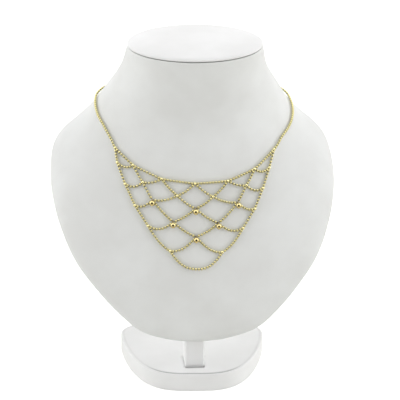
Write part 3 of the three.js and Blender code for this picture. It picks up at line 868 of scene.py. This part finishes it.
# A polished ball hung from a ring, with a small tip; its Z points from the ring to the ball.
def beadDropTree():
    distance = "NodeSocketFloat"
    tree, given, result = newTree("beadDrop", "GeometryNodeTree", (
        ("Seed", "NodeSocketGeometry", None),  # a modifier needs one, but the drop doesn't use it
        ("Ball Diameter", distance, 0.0044), ("Tip Diameter", distance, 0.001),
        ("Ring Radius", distance, 0.00078), ("Ring Wire", distance, 0.00036),
        ("Ring Tilt", distance, 0.0), ("Neck Width", distance, 0.0007), ("Reach", distance, 0.0033),
        ("Finish", "NodeSocketMaterial", None),
    ), (("Drop", "NodeSocketGeometry"),))
    given = given.outputs

    def half(socket):
        return mathNode(tree, "MULTIPLY", socket, 0.5)

    def onZ(socket):
        return addNode(tree, "ShaderNodeCombineXYZ", (("Z", socket),)).outputs[0]

    def moved(mesh, away):
        return addNode(tree, "GeometryNodeTransform", (("Geometry", mesh), ("Translation", onZ(away))))

    def sphere(diameter, segments, rings):
        return addNode(tree, "GeometryNodeMeshUVSphere", (
            ("Segments", segments), ("Rings", rings), ("Radius", half(diameter)))).outputs["Mesh"]

    reach, ballRadius = given["Reach"], half(given["Ball Diameter"])
    ball = moved(sphere(given["Ball Diameter"], 40, 24), reach)
    tipPlace = mathNode(tree, "ADD", mathNode(tree, "ADD", reach, ballRadius),
                        mathNode(tree, "MULTIPLY", given["Tip Diameter"], 0.25))
    tip = moved(sphere(given["Tip Diameter"], 14, 9), tipPlace)
    neckLength = mathNode(tree, "SUBTRACT", reach, ballRadius)
    neckLength = mathNode(tree, "SUBTRACT", neckLength, given["Ring Radius"])
    neckLength = mathNode(tree, "ADD", neckLength, 0.0003)  # so that it ends inside the ball
    neck = addNode(tree, "GeometryNodeMeshCylinder", (
        ("Vertices", 16), ("Radius", half(given["Neck Width"])), ("Depth", neckLength))).outputs["Mesh"]
    neck = moved(neck, mathNode(tree, "ADD", given["Ring Radius"], half(neckLength)))
    circle = addNode(tree, "GeometryNodeCurvePrimitiveCircle", (
        ("Resolution", 28), ("Radius", given["Ring Radius"]))).outputs["Curve"]
    wire = addNode(tree, "GeometryNodeCurvePrimitiveCircle", (
        ("Resolution", 10), ("Radius", half(given["Ring Wire"])))).outputs["Curve"]
    ring = addNode(tree, "GeometryNodeCurveToMesh", (("Curve", circle), ("Profile Curve", wire)))
    stood = addNode(tree, "GeometryNodeTransform", (
        ("Geometry", ring.outputs["Mesh"]), ("Rotation", (pi / 2, 0, pi / 2))))
    tilted = addNode(tree, "GeometryNodeTransform", (
        ("Geometry", stood.outputs[0]), ("Rotation", onZ(given["Ring Tilt"]))))
    joined = addNode(tree, "GeometryNodeJoinGeometry")
    for part in (tilted, neck, tip, ball):
        tree.links.new(part.outputs[0], joined.inputs[0])
    real = addNode(tree, "GeometryNodeRealizeInstances", (("Geometry", joined.outputs[0]),))
    smooth = addNode(tree, "GeometryNodeSetShadeSmooth", (("Geometry", real.outputs[0]),))
    finish = addNode(tree, "GeometryNodeSetMaterial", (
        ("Geometry", smooth.outputs[0]), ("Material", given["Finish"])))
    tree.links.new(finish.outputs[0], result.inputs["Drop"])
    return tree


beadDrop = beadDropTree()


# The ring leans halfway between the two strands that meet at the low place.
def makeDrop(name, node, outer, low, inner):
    size = dropShape
    point, normal = overNet(low)
    inward = -normal
    side = inward.cross(Vector((0, 0, 1))).normalized()
    up = side.cross(inward)
    away = (normal * size["ahead"] - up * size["below"]).normalized()
    toward = (outer - low).normalized() + (inner - low).normalized()
    thing = meshObject(name, [(0, 0, 0)])
    growWith(thing, beadDrop, {
        "Ball Diameter": size["ballDiameter"] * mm, "Tip Diameter": size["tipDiameter"] * mm,
        "Ring Radius": size["ringRadius"] * mm, "Ring Wire": size["ringWire"] * mm,
        "Ring Tilt": atan2(toward.x, toward.y), "Neck Width": size["neckWidth"] * mm,
        "Reach": hypot(size["ahead"], size["below"]) * mm, "Finish": shadedGold,
    })
    front = away.cross(side).normalized()
    seat = Matrix((side, front, away)).transposed().to_4x4()
    thing.data.transform(Matrix.Translation(point * mm) @ seat)
    finishPiece(thing, [node])


for side, label in ((-1, "left"), (1, "right")):
    outer, middle, inner = (hung(name, side) for name in ("mesh1", "mesh3", "mesh2"))
    makeDrop(f"dropOuter_{label}", f"drop_2_outer_{label}", outer, middle, inner)
    outer, middle, inner = (hung(name, side) for name in ("mesh3", "mesh5", "mesh4"))
    makeDrop(f"dropInner_{label}", f"drop_3_{label}", outer, middle, inner)
makeDrop("dropUpper", "drop_2_middle", hung("mesh2", -1), hung("mesh4"), hung("mesh2", 1))
makeDrop("dropLowest", "drop_4_middle", hung("mesh5", -1), hung("mesh6"), hung("mesh5", 1))
print("drops hung")

studio = {
    "floor": (0.84, 0.84, 0.81, 1), "floorSpeck": (0.81, 0.81, 0.78, 1), "floorReach": 6000,
    "floorGlow": 0.02, "floorShown": 0.6, "floorInGold": (0.9, 0.86, 0.77), "netCentre": (0, -60, 120),
    "lampsLookAt": (0, 0, 150),
}
# The white room: the strength of its light at the sides, how many degrees wide it is dim round the
# camera and how far below the camera that dim place lies, with the shares of the light that are
# left there, behind the bust and overhead.
roomOnLeatherette = {"sides": 2.02, "inner": 32, "outer": 52, "below": 0,
                     "front": 0.01, "behind": 0.33, "overhead": 0.02}
roomInGold = {"sides": 2.1, "inner": 36, "outer": 47, "below": 5,
              "front": 0.0, "behind": 1.0, "overhead": 1.0}
# Where the light passes from the sides to behind and to overhead, on the direction's Y and Z.
roomTurns = {"behind": (0.2, 0.8), "overhead": (0.6, 0.9)}


# Falls from 1 to a share while a value rises from start to end.
def fadeBetween(tree, value, start, end, share):
    return addNode(tree, "ShaderNodeMapRange", (
        ("Value", value), ("From Min", start), ("From Max", end), ("To Min", 1.0),
        ("To Max", share)), interpolation_type="SMOOTHSTEP").outputs["Result"]


# How dim the room is towards the camera, as a share of the light at its sides.
def dimInFront(tree, direction, room):
    front = wayTowards(cameraView["azimuth"], cameraView["elevation"] - room["below"])
    facing = addNode(tree, "ShaderNodeVectorMath", ((0, direction), (1, front)), operation="DOT_PRODUCT")
    return fadeBetween(tree, facing.outputs["Value"], cos(radians(room["outer"])),
                       cos(radians(room["inner"])), room["front"])


# A matt pale floor that glows faintly. The gold sees it as dim in front as it sees the room.
def makeFloor():
    reach = studio["floorReach"]
    corners = [(-reach, -reach, 0), (reach, -reach, 0), (reach, reach, 0), (-reach, reach, 0)]
    floor = meshObject("floor", corners, [(0, 1, 2, 3)])
    material, tree, shader = newMaterial("paleFloor")
    speckle = addNode(tree, "ShaderNodeTexNoise", (
        ("Vector", addNode(tree, "ShaderNodeTexCoord").outputs["Object"]), ("Scale", 3.0), ("Detail", 2.0)))
    tint = addNode(tree, "ShaderNodeMix", (
        ("Factor", speckle.outputs["Fac"]), ("A", studio["floor"]), ("B", studio["floorSpeck"])),
        data_type="RGBA")
    rays = addNode(tree, "ShaderNodeLightPath").outputs
    place = addNode(tree, "ShaderNodeNewGeometry").outputs["Position"]
    netCentre = Vector(studio["netCentre"]) * mm
    fromNet = addNode(tree, "ShaderNodeVectorMath", ((0, place), (1, netCentre)), operation="SUBTRACT")
    toward = addNode(tree, "ShaderNodeVectorMath", ((0, fromNet.outputs[0]),), operation="NORMALIZE")
    lit = addNode(tree, "ShaderNodeVectorMath", (
        (0, studio["floorInGold"]), ("Scale", dimInFront(tree, toward.outputs[0], roomInGold))),
        operation="SCALE")
    seen = addNode(tree, "ShaderNodeMix", (
        ("Factor", rays["Is Glossy Ray"]), ("A", tint.outputs[2]), ("B", lit.outputs[0])),
        data_type="RGBA")
    tree.links.new(seen.outputs[2], shader.inputs["Base Color"])
    shader.inputs["Roughness"].default_value = 0.9
    shader.inputs["Specular IOR Level"].default_value = 0.1
    shader.inputs["Emission Color"].default_value = (1, 1, 1, 1)
    glow = addNode(tree, "ShaderNodeMapRange", (
        ("Value", rays["Is Camera Ray"]), ("To Min", studio["floorGlow"]), ("To Max", studio["floorShown"])))
    tree.links.new(glow.outputs["Result"], shader.inputs["Emission Strength"])
    floor.data.materials.append(material)


# A white room, brightest at the sides and dark round the camera.
def roomLight(tree, direction, room):
    part = addNode(tree, "ShaderNodeSeparateXYZ", ((0, direction),)).outputs
    behind = fadeBetween(tree, part["Y"], *roomTurns["behind"], room["behind"])
    overhead = fadeBetween(tree, part["Z"], *roomTurns["overhead"], room["overhead"])
    strength = mathNode(tree, "MULTIPLY", dimInFront(tree, direction, room), room["sides"])
    strength = mathNode(tree, "MULTIPLY", behind, strength)
    return mathNode(tree, "MULTIPLY", overhead, strength)


def makeWorld():
    world = bpy.data.worlds.new("softStudio")
    world.use_nodes = True
    tree = world.node_tree
    tree.nodes.clear()
    direction = addNode(tree, "ShaderNodeTexCoord").outputs["Generated"]
    rays = addNode(tree, "ShaderNodeLightPath").outputs
    strength = addNode(tree, "ShaderNodeMix", (
        ("Factor", rays["Is Glossy Ray"]), ("A", roomLight(tree, direction, roomOnLeatherette)),
        ("B", roomLight(tree, direction, roomInGold))), data_type="FLOAT")
    seen = addNode(tree, "ShaderNodeMix", (
        ("Factor", rays["Is Camera Ray"]), ("A", strength.outputs[0]), ("B", 1.0)), data_type="FLOAT")
    light = addNode(tree, "ShaderNodeBackground", (
        ("Color", (1, 1, 1, 1)), ("Strength", seen.outputs[0])))
    out = addNode(tree, "ShaderNodeOutputWorld")
    tree.links.new(light.outputs[0], out.inputs["Surface"])
    bpy.context.scene.world = world


softboxes = {
    "topSoftbox": {"place": (0, 100, 1400), "width": 1400, "power": 4.5},
    "keySoftbox": {"place": (-100, -1100, 850), "width": 1000, "power": 3.1},
}


# A square soft light that the gold doesn't mirror, because it sees only the room and the floor.
def addSoftbox(name, box):
    lamp = bpy.data.lights.new(name, "AREA")
    lamp.shape, lamp.size, lamp.energy = "SQUARE", box["width"] * mm, box["power"]
    thing = bpy.data.objects.new(name, lamp)
    bpy.context.collection.objects.link(thing)
    place, target = Vector(box["place"]) * mm, Vector(studio["lampsLookAt"]) * mm
    thing.location = place
    thing.rotation_euler = (target - place).to_track_quat("-Z", "Y").to_euler()
    thing.visible_glossy = False


makeFloor()
makeWorld()
for name, box in softboxes.items():
    addSoftbox(name, box)
bpy.context.scene.view_settings.view_transform = "Standard"
print("studio lit")
